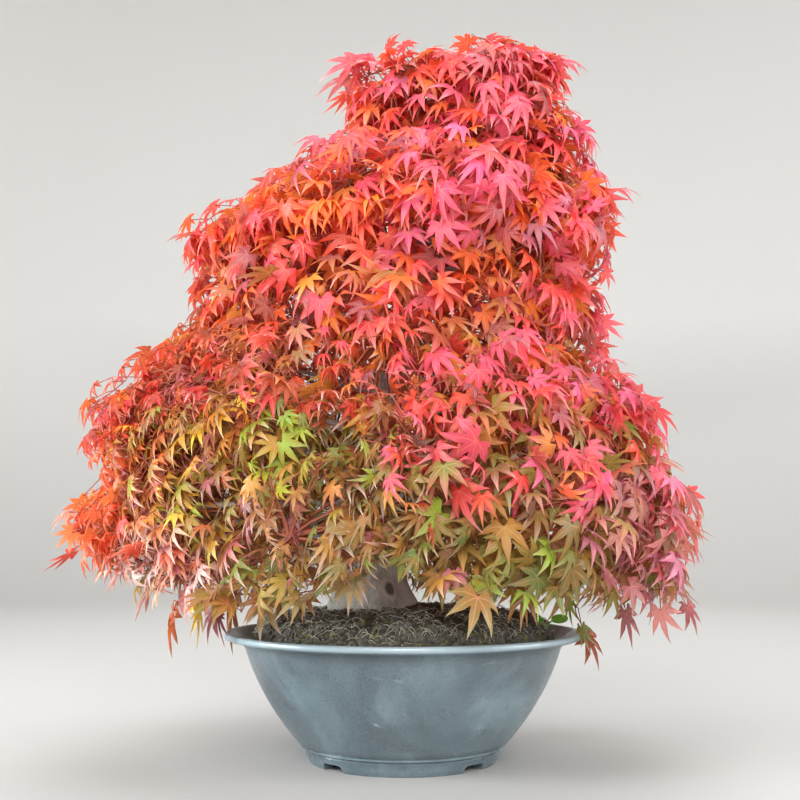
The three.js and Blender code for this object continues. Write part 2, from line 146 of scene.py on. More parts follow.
def widen(share, centre):
    """Scales what is selected sideways."""
    bpy.ops.transform.resize(value=(share, share, 1), center_override=centre)


def raise_rings(radius, height, profile):
    """Pulls the selected ring through the (radius, height) points about the pot's axis."""
    for next_radius, next_height in profile:
        pull_out((0, 0, (next_height - height) * MM))
        widen(next_radius / radius, POT_AXIS)
        radius, height = next_radius, next_height


def finish_piece(piece, smooth_angle=None):
    """Merges doubles, turns the faces outwards, and puts the piece's place in its mesh."""
    pick_all()
    bpy.ops.mesh.remove_doubles(threshold=0.00001)
    bpy.ops.mesh.normals_make_consistent(inside=False)
    bpy.ops.object.mode_set(mode="OBJECT")
    bpy.ops.object.transform_apply()
    if smooth_angle is None:
        bpy.ops.object.shade_smooth()
    else:
        bpy.ops.object.shade_smooth_by_angle(angle=math.radians(smooth_angle))
    return piece


pot = start_disc("bowl_pot", POT_SEGMENTS, DRAIN_RADIUS, (0, 0, FLOOR_UNDERSIDE))
pick_all()
raise_rings(DRAIN_RADIUS, FLOOR_UNDERSIDE, POT_PROFILE)
pick("edges", lambda edge: edge.is_boundary)
bpy.ops.mesh.bridge_edge_loops()
finish_piece(pot, 40)

for turn in (45, -45):
    notch = start_piece(
        bpy.ops.mesh.primitive_cube_add, "notch", size=1, rotation=(0, 0, math.radians(turn)),
        location=placed((0, 0, (NOTCH_HEIGHT - NOTCH_SINK) / 2)),
        scale=(NOTCH_LENGTH * MM, NOTCH_WIDTH * MM, (NOTCH_HEIGHT + NOTCH_SINK) * MM),
    )
    bpy.ops.object.mode_set(mode="OBJECT")
    bpy.ops.object.transform_apply()
    bpy.ops.object.mode_set(mode="EDIT")
    pick("edges", lambda edge: all(v.co.z > 0 for v in edge.verts) and edge.calc_length() > 0.1)
    bpy.ops.mesh.bevel(offset=NOTCH_ROUNDING * MM, segments=5)
    bpy.ops.object.mode_set(mode="OBJECT")
    cut = pot.modifiers.new("notch", "BOOLEAN")
    cut.operation = "DIFFERENCE"
    cut.object = notch
    hold(pot)
    bpy.ops.object.modifier_apply(modifier="notch")
    bpy.data.objects.remove(notch)


def linear(red, green, blue):
    """A chart colour, from 0 to 255, as the linear colour that a shader reads."""
    steps = [(level / 255 / 12.92 if level < 10.3 else ((level / 255 + 0.055) / 1.055) ** 2.4)
             for level in (red, green, blue)]
    return (*steps, 1)


class Finish:
    """A material that is wired up one node at a time."""

    def __init__(self, name):
        self.material = bpy.data.materials.new(name)
        self.material.use_nodes = True
        self.tree = self.material.node_tree
        self.shader = self.tree.nodes["Principled BSDF"]
        self.place = self.add("TexCoord").outputs["Object"]

    def feed(self, node, inputs):
        for key, value in inputs.items():
            if isinstance(value, bpy.types.NodeSocket):
                self.tree.links.new(value, node.inputs[key])
            else:
                node.inputs[key].default_value = value

    def add(self, kind, inputs=None, **settings):
        node = self.tree.nodes.new("ShaderNode" + kind)
        for key, value in settings.items():
            setattr(node, key, value)
        self.feed(node, inputs or {})
        return node

    def stretched(self, *scale):
        return self.add("Mapping", {"Vector": self.place, "Scale": scale}).outputs["Vector"]

    def noise(self, scale, detail=4, roughness=0.55, distortion=0, at=None):
        inputs = {"Vector": at or self.place, "Scale": scale, "Detail": detail, "Roughness": roughness}
        return self.add("TexNoise", {**inputs, "Distortion": distortion}).outputs["Fac"]

    def fade(self, value, low, high, to_low=0, to_high=1):
        inputs = {"Value": value, "From Min": low, "From Max": high, "To Min": to_low, "To Max": to_high}
        return self.add("MapRange", inputs).outputs["Result"]

    def patches(self, low, high, *noise):
        """Noise that fades from 0 to 1 between two of its levels."""
        return self.fade(self.noise(*noise), low, high)

    def combine(self, operation, a, b):
        return self.add("Math", {0: a, 1: b}, operation=operation, use_clamp=True).outputs[0]

    def times(self, a, b):
        return self.combine("MULTIPLY", a, b)

    def by_height(self, low, high):
        return self.fade(self.add("SeparateXYZ", {"Vector": self.place}).outputs["Z"], low, high)

    def mix(self, share, a, b):
        return self.add("Mix", {0: share, 6: a, 7: b}, data_type="RGBA").outputs[2]

    def tinge(self, base, share, strength, *colour):
        """Lays a colour over the base, by the share times the strength."""
        return self.mix(self.times(share, strength), base, linear(*colour))

    def colour(self, value):
        self.feed(self.shader, {"Base Color": value})

    def two_tone(self, dark, light, *noise):
        """A body colour that clouds from a dark to a light tone."""
        self.colour(self.mix(self.noise(*noise), linear(*dark), linear(*light)))

    def sheen(self, roughness, specular=0.5):
        self.feed(self.shader, {"Roughness": roughness, "Specular IOR Level": specular})

    def uneven_sheen(self, low, high, *noise):
        """Roughness that clouds between two levels."""
        self.sheen(self.fade(self.noise(*noise), 0.3, 0.7, low, high))

    def relief(self, value, distance, strength):
        bump = self.add("Bump", {"Height": value, "Distance": distance, "Strength": strength})
        self.feed(self.shader, {"Normal": bump.outputs["Normal"]})

    def wear(self, *pieces):
        for piece in pieces:
            piece.data.materials.clear()
            piece.data.materials.append(self.material)


glaze = Finish("stoneware")
clouding = glaze.patches(0.35, 0.68, 9, 6, 0.6, 0.6)
body = glaze.mix(clouding, linear(62, 74, 81), linear(99, 117, 125))
stain = glaze.patches(0.5, 0.72, 26, 5, 0.7, 1.2)
body = glaze.tinge(body, stain, 0.45, 74, 82, 86)
grain = glaze.patches(0.42, 0.66, 620, 2)
body = glaze.tinge(body, grain, 0.1, 176, 190, 192)
bloom = glaze.patches(0.52, 0.74, 1, 4, 0.6, 0.5, glaze.stretched(13, 13, 6))
body = glaze.tinge(body, bloom, 0.4, 150, 172, 180)
scratch = glaze.patches(0.64, 0.7, 1, 5, 0.75, 0.4, glaze.stretched(26, 26, 90))
scuff = glaze.times(scratch, glaze.combine("ADD", glaze.by_height(0.075, 0.03), 0.25))
body = glaze.tinge(body, scuff, 0.55, 196, 210, 212)
# Painted highlight: the top of the lip is painted lighter and bluer, as if it caught the light.
painted_lip_highlight = glaze.by_height(0.1165, 0.1205)
body = glaze.tinge(body, painted_lip_highlight, 0.5, 176, 198, 206)
# The foot is painted darker towards the bottom, in blotches.
darker_foot = glaze.times(glaze.by_height(0.02, 0.0), 0.4)
body = glaze.tinge(body, darker_foot, stain, 70, 68, 62)
glaze.colour(body)
glaze.sheen(glaze.fade(glaze.noise(40, 4, 0.7), 0.3, 0.75, 0.24, 0.4), 0.8)
glaze.relief(glaze.noise(150, 4, 0.6), 0.0006, 0.3)
glaze.wear(pot)
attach(pot, "root")
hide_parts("pot")

# The drain screen: a small sheet of black plastic mesh that lies on the pot's floor, over the drain hole, and
# keeps the soil in. It is moulded flat and shows only from below, through the hole.
plastic = Finish("screen_plastic")
plastic.two_tone((30, 33, 35), (52, 55, 56), 300)
plastic.uneven_sheen(0.45, 0.7, 700, 2)
plastic.wear(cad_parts["drain_screen"])

# The soil: a mound of dark compost that fills the bowl and stands above its rim round the trunk. It is laid
# in by hand, so its top is lumpy, with crumbs, pale grit, bits of moss and a tangle of dry pale fibres on it.
SOIL_FLOOR, POCKET_RADIUS, POCKET_HEIGHT = 15.4, 40, 17.4
SOIL_PROFILE = [(POCKET_RADIUS + 1, SOIL_FLOOR), (84.6, SOIL_FLOOR)]
SOIL_PROFILE += bezier((96.5, 23.3), (134.5, 61), (148.5, 107.8), 8)
SOIL_PROFILE += [(149.6, 111), (148.6, 117), (146.4, 123), (141, 128.6), (135, 133.4), (130, 136.6)]
SOIL_PROFILE += [(radius, 144 - (radius - 75) * 7 / 55) for radius in range(126, 75, -4)]
SOIL_PROFILE += [(radius, 149 - radius / 15) for radius in range(75, 2, -4)]
SOIL_WAVE, SOIL_ROUGHNESS = 1.6, 4.5
SOIL_EDGE, SOIL_EDGE_FADE = 114, 12  # the top is lumpy from this height, fully so that much higher up
CRUMBS, GRIT, MOSS, FIBRES = 1700, 180, 460, 1050
SOIL_REACH = 147
# Crumbs and fibres: where they start at the trunk's foot, or near the rim, where they end, share near the rim
CRUMB_SPREAD, FIBRE_SPREAD = (34, 130, SOIL_REACH, 0.3), (36, 132, SOIL_REACH + 1, 0.35)
FIBRE_THICKNESS, FIBRE_STEP, FIBRE_TAPER = 0.26, 2.7, (0.5, 1.0, 0.4)

soil = start_disc("soil_mound", 128, POCKET_RADIUS, (0, 0, POCKET_HEIGHT), "NGON")
pick("edges", lambda edge: edge.is_boundary)
raise_rings(POCKET_RADIUS, POCKET_HEIGHT, SOIL_PROFILE)
bpy.ops.mesh.merge(type="CENTER")
finish_piece(soil)


def ramp(value, start, end):
    """How far a value has come from start to end, from 0 to 1."""
    return min(max((value - start) / (end - start), 0), 1)


top_skin = soil.vertex_groups.new(name="top")
for vertex in soil.data.vertices:
    x, y = (vertex.co.x - POT_AXIS.x) / MM, (vertex.co.y - POT_AXIS.y) / MM
    if vertex.co.z > (SOIL_EDGE - 2) * MM:
        wave = math.sin(x / 19 + 1) * math.cos(y / 23) + 0.6 * math.sin((x + y) / 11)
        vertex.co.z += SOIL_WAVE * wave * MM
    if vertex.co.z > SOIL_EDGE * MM:
        top_skin.add([vertex.index], ramp(vertex.co.z / MM, SOIL_EDGE, SOIL_EDGE + SOIL_EDGE_FADE), "REPLACE")


def roughen(piece, size, strength, depth, group=""):
    """Works lumps of about that size and height, in millimetres, into a piece's surface."""
    lumps = bpy.data.textures.new(piece.name + "_lumps", "CLOUDS")
    lumps.noise_scale = size * MM
    lumps.noise_depth = depth
    push = piece.modifiers.new("lumps", "DISPLACE")
    push.texture = lumps
    push.strength = strength * MM
    push.vertex_group = group
    hold(piece)
    bpy.ops.object.modifier_apply(modifier="lumps")


roughen(soil, 7, SOIL_ROUGHNESS, 3, "top")

compost = Finish("compost")
patch = compost.patches(0.46, 0.62, 38, 5, 0.65, 0.5)
clods = compost.patches(0.35, 0.7, 260, 5, 0.7)
earth = compost.mix(clods, linear(48, 46, 40), linear(110, 108, 96))
growth = compost.mix(compost.noise(420, 3), linear(84, 88, 54), linear(124, 124, 86))
compost.colour(compost.mix(compost.times(patch, 0.6), earth, growth))
compost.sheen(0.95, 0.2)
compost.relief(compost.noise(520, 6, 0.75), 0.002, 0.9)
compost.wear(soil)
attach(soil, "root")
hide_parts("soil")

soil_skin = BVHTree.FromPolygons(
    [vertex.co.copy() for vertex in soil.data.vertices], [list(face.vertices) for face in soil.data.polygons]
)


def on_soil(x, y, sink):
    """A point on the soil's top, in the part's frame, sunk in by that many millimetres."""
    place = soil_skin.ray_cast(placed((x, y, 300)), Vector((0, 0, -1)))[0]
    return place - Vector((0, 0, sink * MM)) if place else None


def scatter_spot(rng, at_trunk, at_rim, outer, crowding):
    """A random (x, y) on the soil, between its inner and outer reach."""
    inner = at_rim if rng.random() < crowding else at_trunk
    reach = math.sqrt(rng.uniform((inner / outer) ** 2, 1)) * outer
    around = rng.uniform(0, math.tau)
    return reach * math.cos(around), reach * math.sin(around)


def crumb_model(seed):
    """A crumb: a small ball with twenty faces, dented and squashed."""
    rng = random.Random(seed)
    crumb = start_piece(bpy.ops.mesh.primitive_ico_sphere_add, f"crumb_{seed}", subdivisions=1, radius=1)
    pick("faces", lambda face: face.index % 5 == seed % 5)
    bpy.ops.mesh.poke(offset=-0.1)
    pick_all()
    bpy.ops.transform.resize(value=(1, rng.uniform(0.7, 1), rng.uniform(0.5, 0.75)))
    bpy.ops.transform.vertex_random(offset=0.22, seed=seed)
    return finish_piece(crumb, 60)


def copy_of(model, stand, material=None):
    """A copy with its own mesh, at its place."""
    copy = model.copy()
    copy.data = model.data.copy()
    copy.matrix_world = stand
    if material:
        copy.data.materials.clear()
        copy.data.materials.append(material)
    bpy.context.scene.collection.objects.link(copy)
    return copy


def joined(pieces, name):
    """The pieces as one, in the first one's coordinates."""
    hold(*pieces)
    bpy.ops.object.join()
    pieces[0].name = pieces[0].data.name = name
    return pieces[0]


def strands(name, lines, thickness, material, resolution=0):
    """Thin round strands, as one mesh. A line is (points, radii), with radii as shares of the thickness."""
    curve = bpy.data.curves.new(name, "CURVE")
    curve.dimensions = "3D"
    curve.bevel_depth = thickness * MM
    curve.bevel_resolution = resolution
    curve.use_fill_caps = True
    curve.materials.append(material)
    for points, radii in lines:
        spline = curve.splines.new("POLY")
        spline.points.add(len(points) - 1)
        for knot, place, radius in zip(spline.points, points, radii):
            knot.co = (*place, 1)
            knot.radius = radius
    strand = bpy.data.objects.new(name, curve)
    bpy.context.scene.collection.objects.link(strand)
    hold(strand)
    bpy.ops.object.convert(target="MESH")
    bpy.ops.object.shade_smooth()
    return bpy.context.object


def crumb_finish(name, dark, light, scale=330):
    finish = Finish(name)
    finish.two_tone(dark, light, scale, 4, 0.7)
    finish.sheen(0.9)
    finish.relief(finish.noise(900, 3), 0.0005, 0.7)
    return finish.material


dark_crumb = crumb_finish("dark_crumb", (34, 32, 28), (124, 122, 112))
pale_grit = crumb_finish("pale_grit", (150, 146, 136), (214, 212, 204))
moss_green = crumb_finish("moss_green", (58, 62, 30), (136, 136, 74))
dry_fibre = crumb_finish("dry_fibre", (84, 82, 64), (236, 234, 214), 45)

rng = random.Random(41)
crumb_models = [crumb_model(seed) for seed in (1, 2, 3)]
crumbs = []
for count, material, smallest, largest, sink in (
    (CRUMBS, dark_crumb, 1.4, 4.4, -0.3), (GRIT, pale_grit, 0.7, 1.5, -0.4),
    (MOSS, moss_green, 1.4, 3.2, 0.2),
):
    for _ in range(count):
        spot = on_soil(*scatter_spot(rng, *CRUMB_SPREAD), sink)
        turn = Matrix.Rotation(rng.uniform(0, math.tau), 4, "Z")
        turn = turn @ Matrix.Rotation(rng.uniform(-0.6, 0.6), 4, "X")
        size = rng.uniform(smallest, largest) * MM
        model = rng.choice(crumb_models)
        crumbs.append(copy_of(model, Matrix.Translation(spot) @ turn @ Matrix.Scale(size, 4), material))

fibre_lines = []
for _ in range(FIBRES):
    x, y = scatter_spot(rng, *FIBRE_SPREAD)
    heading, bend = rng.uniform(0, math.tau), rng.uniform(-0.4, 0.4)
    points, steps, arch = [], rng.randint(3, 9), rng.uniform(0.6, 5)
    for step in range(steps):
        height = arch * math.sin(math.pi * step / (steps - 1)) + rng.uniform(-0.4, 0.8) if step else -1.5
        spot = on_soil(x, y, -height)
        if spot is None or math.hypot(x, y) > SOIL_REACH:
            break
        points.append(spot)
        heading += bend + rng.uniform(-0.35, 0.35)
        x, y = x + FIBRE_STEP * math.cos(heading), y + FIBRE_STEP * math.sin(heading)
    if len(points) > 2:
        root, body, tip = FIBRE_TAPER
        fibre_lines.append((points, [root] + [body] * (len(points) - 2) + [tip]))
fibres = strands("soil_litter", fibre_lines, FIBRE_THICKNESS, dry_fibre)
litter = joined([fibres, *crumbs], "soil_litter")
for model in crumb_models:
    bpy.data.objects.remove(model)
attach(litter, "root")

# The tree: a pale trunk that leans left and then right, with roots that flare out of the soil, and the limbs
# that it carries. It grew in one. Every limb forks off the trunk or off an earlier limb and ends in a spray.
TRUNK_ROUTE = [(-31, 5, 112), (-31, 5, 150), (-37, 3, 215), (-38, -2, 285), (-20, -6, 365), (8, 0, 450),
               (30, 8, 540), (56, 4, 630), (74, 0, 690)]
SOIL_LINE, TRUNK_TOP = 150, 690
TRUNK_RADIUS, TRUNK_TIP_RADIUS, ROOT_FLARE, ROOT_RIDGES = 34, 4, 15, 5
TRUNK_SIDES, TRUNK_RINGS = 64, 110
LOWEST_LIMB, LIMB_RISE, LIMB_STEPS, TWIG_RADIUS = 0.22, 0.3, 12, 2.6
BARK_ROUGHNESS = 1.6
KNOT_PLACE, KNOT_RADIUS, KNOT_LIP, KNOT_HOLLOW = Vector((-14, -30, 165)), 11, 3.2, 3.0
CROWN = [(168, -338, 296), (205, -336, 301), (265, -325, 299), (325, -315, 274), (385, -268, 232),
         (445, -226, 218), (480, -214, 208), (515, -236, 222), (550, -200, 240), (600, -134, 204),
         (650, -96, 197), (700, -82, 180), (750, -10, 160), (788, 60, 100)]  # height, left, right
LEAF_CROWN = [(150, -314, 280), (205, -308, 286), (265, -306, 290), (325, -312, 262), (385, -254, 224),
              (410, -238, 204), (445, -222, 206), (480, -210, 204), (515, -228, 220), (550, -190, 230),
              (600, -122, 194), (640, -70, 192), (690, -70, 170), (730, 2, 168), (757, 36, 150),
              (784, 62, 130), (812, 88, 108)]  # the same for the leaves' roots, before CAP_SQUASH
CROWN_DEPTH = 0.86
SPRAYS, FIRST_SPRAY, SPRAY_SPACING, SPRAY_INSET = 43, 2.1, 150, 44
LOWEST_SPRAY, LOWEST_SPRAY_WAVE, HIGHEST_SPRAY = 226, 24, 777
CORE_RADIUS = 45
GOLDEN_ANGLE = math.pi * (3 - math.sqrt(5))


def along_trunk(share):
    """The trunk's middle at a share of its route, on a smooth curve through the route's points."""
    last = len(TRUNK_ROUTE) - 1
    index = min(int(share * last), last - 1)
    part = share * last - index
    a, b, c, d = (Vector(TRUNK_ROUTE[min(max(index + k, 0), last)]) for k in (-1, 0, 1, 2))
    squared, cubed = 2 * a - 5 * b + 4 * c - d, 3 * b - a - 3 * c + d
    return 0.5 * (2 * b + (c - a) * part + squared * part**2 + cubed * part**3)


def trunk_radius(height):
    rise = ramp(height, SOIL_LINE, TRUNK_TOP)
    return TRUNK_TIP_RADIUS + (TRUNK_RADIUS - TRUNK_TIP_RADIUS) * (1 - rise) ** 1.15


def between(rows, level):
    """The rows below and above a level, and how far it has come from one to the other."""
    upper = max(1, next(i for i, row in enumerate(rows) if row[0] >= level))
    low, high = rows[upper - 1], rows[upper]
    return low, high, (level - low[0]) / (high[0] - low[0])


def crown_row(height, rows=CROWN):
    """How far the crown reaches at a height: the middle and half width of an oval."""
    low, high, share = between(rows, min(max(height, rows[0][0]), rows[-1][0]))
    share = share * share * (3 - 2 * share)
    left, right = (low[side] + (high[side] - low[side]) * share for side in (1, 2))
    return (left + right) / 2, (right - left) / 2


def crown_point(height, azimuth, rows=CROWN):
    middle, half = crown_row(height, rows)
    return Vector((middle + half * math.cos(azimuth), half * CROWN_DEPTH * math.sin(azimuth), height))


def crown_normal(height, azimuth, rows=CROWN):
    around = crown_point(height, azimuth + 0.05, rows) - crown_point(height, azimuth - 0.05, rows)
    up = crown_point(height + 18, azimuth, rows) - crown_point(height - 18, azimuth, rows)
    return around.cross(up).normalized()


def spray_places():
    """Height and azimuth of each spray: along a rising spiral, then pushed apart until evenly spread."""
    places = []
    for k in range(SPRAYS):
        rise = 1 - math.sqrt(1 - (k + 0.5) / SPRAYS)
        places.append([LOWEST_SPRAY + (HIGHEST_SPRAY - LOWEST_SPRAY) * rise, FIRST_SPRAY + k * GOLDEN_ANGLE])
    for _ in range(120):
        points = [crown_point(*place) for place in places]
        for i, place in enumerate(places):
            push = Vector()
            for j, other in enumerate(points):
                apart = points[i] - other
                near = SPRAY_SPACING - apart.length
                if i != j and near > 0:
                    push += apart.normalized() * 0.2 * near
            around = crown_point(place[0], place[1] + 0.1) - points[i]
            up = crown_point(place[0] + 10, place[1]) - points[i]
            place[1] += 0.1 * push.dot(around) / around.length_squared
            lowest = LOWEST_SPRAY + LOWEST_SPRAY_WAVE * math.sin(5 * place[1])
            place[0] = min(max(place[0] + 10 * push.dot(up) / up.length_squared, lowest), HIGHEST_SPRAY)
    return places


sites = []
for height, azimuth in spray_places():
    outward = crown_normal(height, azimuth)
    sites.append((crown_point(height, azimuth) - SPRAY_INSET * outward, outward))


def wood_radius(load):
    """The radius of wood that carries so many sprays."""
    return TWIG_RADIUS * math.sqrt(load)


def grow_limbs():
    """The limbs as (start, fork, end, base radius, fork radius), each grown from the best placed wood."""
    trunk_joints = []
    for i in range(25):
        at = along_trunk(LOWEST_LIMB + (1 - LOWEST_LIMB) * i / 24)
        trunk_joints.append({"at": at, "load": (trunk_radius(at.z) / TWIG_RADIUS) ** 2, "start": None})
    order = sorted(sites, key=lambda site: min((joint["at"] - site[0]).length for joint in trunk_joints))
    forks, limbs = [], []
    for centre, outward in order:
        def cost(joint):
            run = (joint["at"] - centre).length
            slant = abs(centre.z - joint["at"].z - LIMB_RISE * run)
            return run + 1.4 * slant + (200 if run < CORE_RADIUS else 0) + (12 if joint["start"] else 0)
        start = min(trunk_joints + forks, key=cost)
        at = start["at"].lerp(centre, 0.5) - 8 * outward
        at.z += 0.06 * (start["at"] - centre).length
        fork = {"at": at, "load": 0, "start": start}
        forks.append(fork)
        joint = fork
        while joint["start"]:
            joint["load"] += 1
            joint = joint["start"]
        limbs.append((start, fork, centre - 2 * outward))
    grown = []
    for start, fork, end in limbs:
        base = min(0.8 * wood_radius(start["load"]), 1.25 * wood_radius(fork["load"] + 0.6))
        grown.append((start["at"], fork["at"], end, base, wood_radius(fork["load"])))
    return grown


trunk = start_disc("maple_tree", TRUNK_SIDES, TRUNK_RADIUS, TRUNK_ROUTE[0], "NGON")
pick("edges", lambda edge: edge.is_boundary)
here, girth = Vector(TRUNK_ROUTE[0]), TRUNK_RADIUS
for ring in range(1, TRUNK_RINGS + 1):
    there = along_trunk((ring / TRUNK_RINGS) ** 1.3)
    pull_out((there - here) * MM)
    next_girth = trunk_radius(there.z)
    widen(next_girth / girth, placed(there))
    here, girth = there, next_girth
bpy.ops.mesh.edge_face_add()
finish_piece(trunk)

# The root flare, the slow swelling of old wood and the healed knot are worked into the trunk.
route = [along_trunk(step / 400) for step in range(401)]
levels = [point.z for point in route]
for vertex in trunk.data.vertices:
    place = (vertex.co - POT_AXIS) / MM
    middle = route[min(bisect.bisect(levels, place.z), 400)]
    side = Vector((place.x - middle.x, place.y - middle.y, 0))
    if side.length < 0.01:
        continue
    around = math.atan2(side.y, side.x)
    near = math.exp(-max(place.z - SOIL_LINE, 0) / 26)
    ridge = 0.65 + 0.35 * math.cos(ROOT_RIDGES * around + 0.6)
    reach = side.length * (1 + 0.05 * math.sin(place.z / 31 + 2 * around)) + ROOT_FLARE * near * ridge
    from_knot = (place - KNOT_PLACE).length / KNOT_RADIUS
    reach += KNOT_LIP * math.exp(-((from_knot - 0.8) / 0.3) ** 2)
    reach -= KNOT_HOLLOW * math.exp(-((from_knot / 0.5) ** 2))
    side = side.normalized() * reach
    vertex.co = placed((middle.x + side.x, middle.y + side.y, place.z))
roughen(trunk, 9, BARK_ROUGHNESS, 4)

rng = random.Random(7)
limb_lines = []
for start, fork, end, base, fork_radius in grow_limbs():
    points, radii = [], []
    run = (end - start).length
    phase = rng.uniform(0, math.tau)
    bend = 2 * fork - 0.5 * (start + end)  # so that the curve passes through the fork
    for step, point in enumerate(bezier(start, bend, end, LIMB_STEPS)):
        share = step / LIMB_STEPS
        wobble = math.sin(math.pi * share) * 0.012 * run
        turn = Vector((
            math.sin(9 * share + phase), math.cos(7 * share + phase), math.sin(8 * share + 2 * phase),
        ))
        points.append(placed(Vector(point) + wobble * turn))
        if share < 0.5:
            radius = base + (fork_radius - base) * share * 2
        else:
            radius = fork_radius + (0.8 * TWIG_RADIUS - fork_radius) * (share * 2 - 1)
        radii.append(radius * (1 + 0.06 * math.sin(11 * share + phase)))
    limb_lines.append((points, radii))

bark = Finish("maple_bark")
weathering = bark.patches(0.36, 0.66, 34, 6, 0.65, 0.4, bark.stretched(1, 1, 0.55))
skin = bark.mix(weathering, linear(156, 155, 146), linear(212, 212, 204))
dashes = bark.patches(0.6, 0.72, 1, 3, 0.6, 0, bark.stretched(120, 120, 620))
skin = bark.tinge(skin, dashes, 0.5, 74, 62, 52)
fissures = bark.patches(0.58, 0.7, 1, 5, 0.7, 0.6, bark.stretched(150, 150, 34))
skin = bark.tinge(skin, fissures, 0.45, 60, 50, 42)
algae = bark.times(bark.patches(0.5, 0.7, 22, 4), bark.by_height(0.3, 0.14))
skin = bark.tinge(skin, algae, 0.4, 112, 116, 78)
young = bark.by_height(0.3, 0.6)
skin = bark.tinge(skin, young, 0.45, 108, 84, 66)
knot_inputs = {0: bark.place, 1: placed(KNOT_PLACE)}
from_knot = bark.add("VectorMath", knot_inputs, operation="DISTANCE").outputs["Value"]
skin = bark.mix(bark.fade(from_knot, 0.013, 0.0105, 0, 0.55), skin, linear(216, 208, 198))
skin = bark.mix(bark.fade(from_knot, 0.0085, 0.005, 0, 0.85), skin, linear(66, 56, 48))
bark.colour(skin)
bark.uneven_sheen(0.62, 0.85, 90, 3)
ridges = bark.noise(1, 6, 0.7, 0.3, bark.stretched(220, 220, 90))
bark.relief(bark.combine("SUBTRACT", ridges, fissures), 0.002, 0.7)
bark.wear(trunk)
limbs = strands("limbs", limb_lines, 1, bark.material, resolution=2)
tree = joined([trunk, limbs], "maple_tree")
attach(tree, "root")
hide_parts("tree")

# The sprays: the leaves and fine twigs at the end of each limb. A leaf is a thin blade of five long lobes and
# two short ones that spread from the end of its stalk, and it hangs by the stalk from a twig. The leaves lie
# like shingles, tips down, with older ones behind them.
LEAF_SIZES = (19, 37, 27)  # a leaf's middle lobe, in millimetres: smallest, largest and usual
LOW_LEFT_SIZE = 0.76  # the share of that which the leaves low on the left have
PALM_RADIUS, STALK_NOTCH, PALM_DOME = 0.3, 0.21, 0.1  # a leaf's parts are shares of the middle lobe
LOBES = [(0, 0, 1.0), (48, 42, 0.92), (96, 82, 0.72), (144, 124, 0.42)]  # root and tip angles, reach
LAYERS = [(2300, 0, 18), (2100, 18, 48), (900, 50, 92)]  # leaves, and how far inside the outline they root
STRAY_SHARE, STRAY_REACH = 0.06, 16  # a few leaves of the outer layer stand out by up to this much more
PAD_RADIUS, PAD_DROP = 80, 24  # the outer leaves of a spray fall back towards its edge
LOWEST_LEAF, HIGHEST_LEAF = 164, 812
USUAL_MODELS = (2, 4, 3, 4, 4, 2, 0)  # how common each of the seven models below is
LOW_LEFT_MODELS = (1, 2, 2, 5, 5, 8, 3)
LOW_LEFT_EXTRA = 0.9  # the share of the small leaves low on the left that have a second one beside them
CROWDED = (-190, -240)  # left of each of these places every such leaf has one more beside it
CAP_START, CAP_SQUASH = 690, 0.63  # the leaves above this height lie closer together, as a flat cap
# Azimuths in degrees, and how much higher than the lowest leaf the leaves end there
HEM = [(-180, 58), (-165, 50), (-150, 18), (-130, -14), (-108, -26), (-97, -26), (-94, 32), (-86, 42),
       (-82, 4), (-65, -12), (-44, -36), (-14, -46), (4, 6), (40, 8), (90, -10), (140, 10), (180, 58)]
LEAVES_PER_TWIG = 6
TWIG_THICKNESS, TWIG_TAPER, STALK_TAPER = 0.6, (3.0, 2.4, 1.9, 1.3), (1.0, 0.85, 0.75)
STALK_BACK, STALK_UNDER = 16, 12  # from a leaf's root back to its stalk's root, and under its face
TONES = {
    "rose": (234, 76, 110), "crimson": (206, 46, 76), "scarlet": (238, 64, 64), "vermilion": (244, 84, 50),
    "orange": (246, 124, 50), "amber": (226, 148, 54), "yellow": (236, 194, 64), "lime": (150, 194, 56),
    "olive": (142, 132, 60), "green": (92, 138, 56), "brown": (152, 106, 60), "mauve": (164, 86, 108),
    "blush": (214, 140, 138), "cream": (240, 208, 188), "pink": (240, 102, 150), "gold": (186, 142, 58),
    "rust": (172, 78, 52), "salmon": (242, 130, 96), "lilac": (208, 130, 162), "pearl": (240, 216, 214),
    "moss": (104, 106, 50),
}
# From the top down, the lowest height of each level, and along it the right-hand end of each stretch of tones
AUTUMN = [
    (600, [(999, "rose rose crimson scarlet rose pink vermilion mauve")]),
    (460, [(-70, "scarlet vermilion rose scarlet rose orange mauve"),
           (70, "scarlet rose vermilion rose mauve pink rose"),
           (999, "rose pink lilac scarlet rose pink scarlet")]),
    (325, [(-170, "scarlet rust mauve scarlet rust rose vermilion"),
           (0, "rose scarlet rust mauve rust rose scarlet brown"),
           (999, "rose rose scarlet pink mauve rose")]),
    (240, [(-240, "vermilion orange scarlet vermilion orange scarlet"),
           (-150, "gold amber gold salmon yellow olive mauve rust"),
           (-40, "olive gold gold amber olive lime gold brown"),
           (25, "rust brown gold rose scarlet gold"),
           (999, "rose rose scarlet pink gold rose")]),
    # Low on the left the cream and pearl leaves are partly painted highlights, whitish where side light
    # glances off them.
    (-99, [(-215, "vermilion scarlet orange vermilion orange cream scarlet"),
           (-150, "gold blush amber cream pearl mauve salmon gold"),
           (20, "olive green gold moss mauve green brown mauve"),
           (150, "green olive green moss lime brown green"),
           (999, "lilac mauve blush lilac mauve olive")]),
]
# The same for the leaves behind, which are less red; their oranges and yellows above the lowest level are
# partly a painted glow of light passing through the leaves
INNER_AUTUMN = [(560, "scarlet vermilion orange rose"), (440, "orange vermilion amber orange scarlet"),
                (320, "orange rust amber vermilion gold scarlet"), (-99, "gold olive moss olive green brown")]
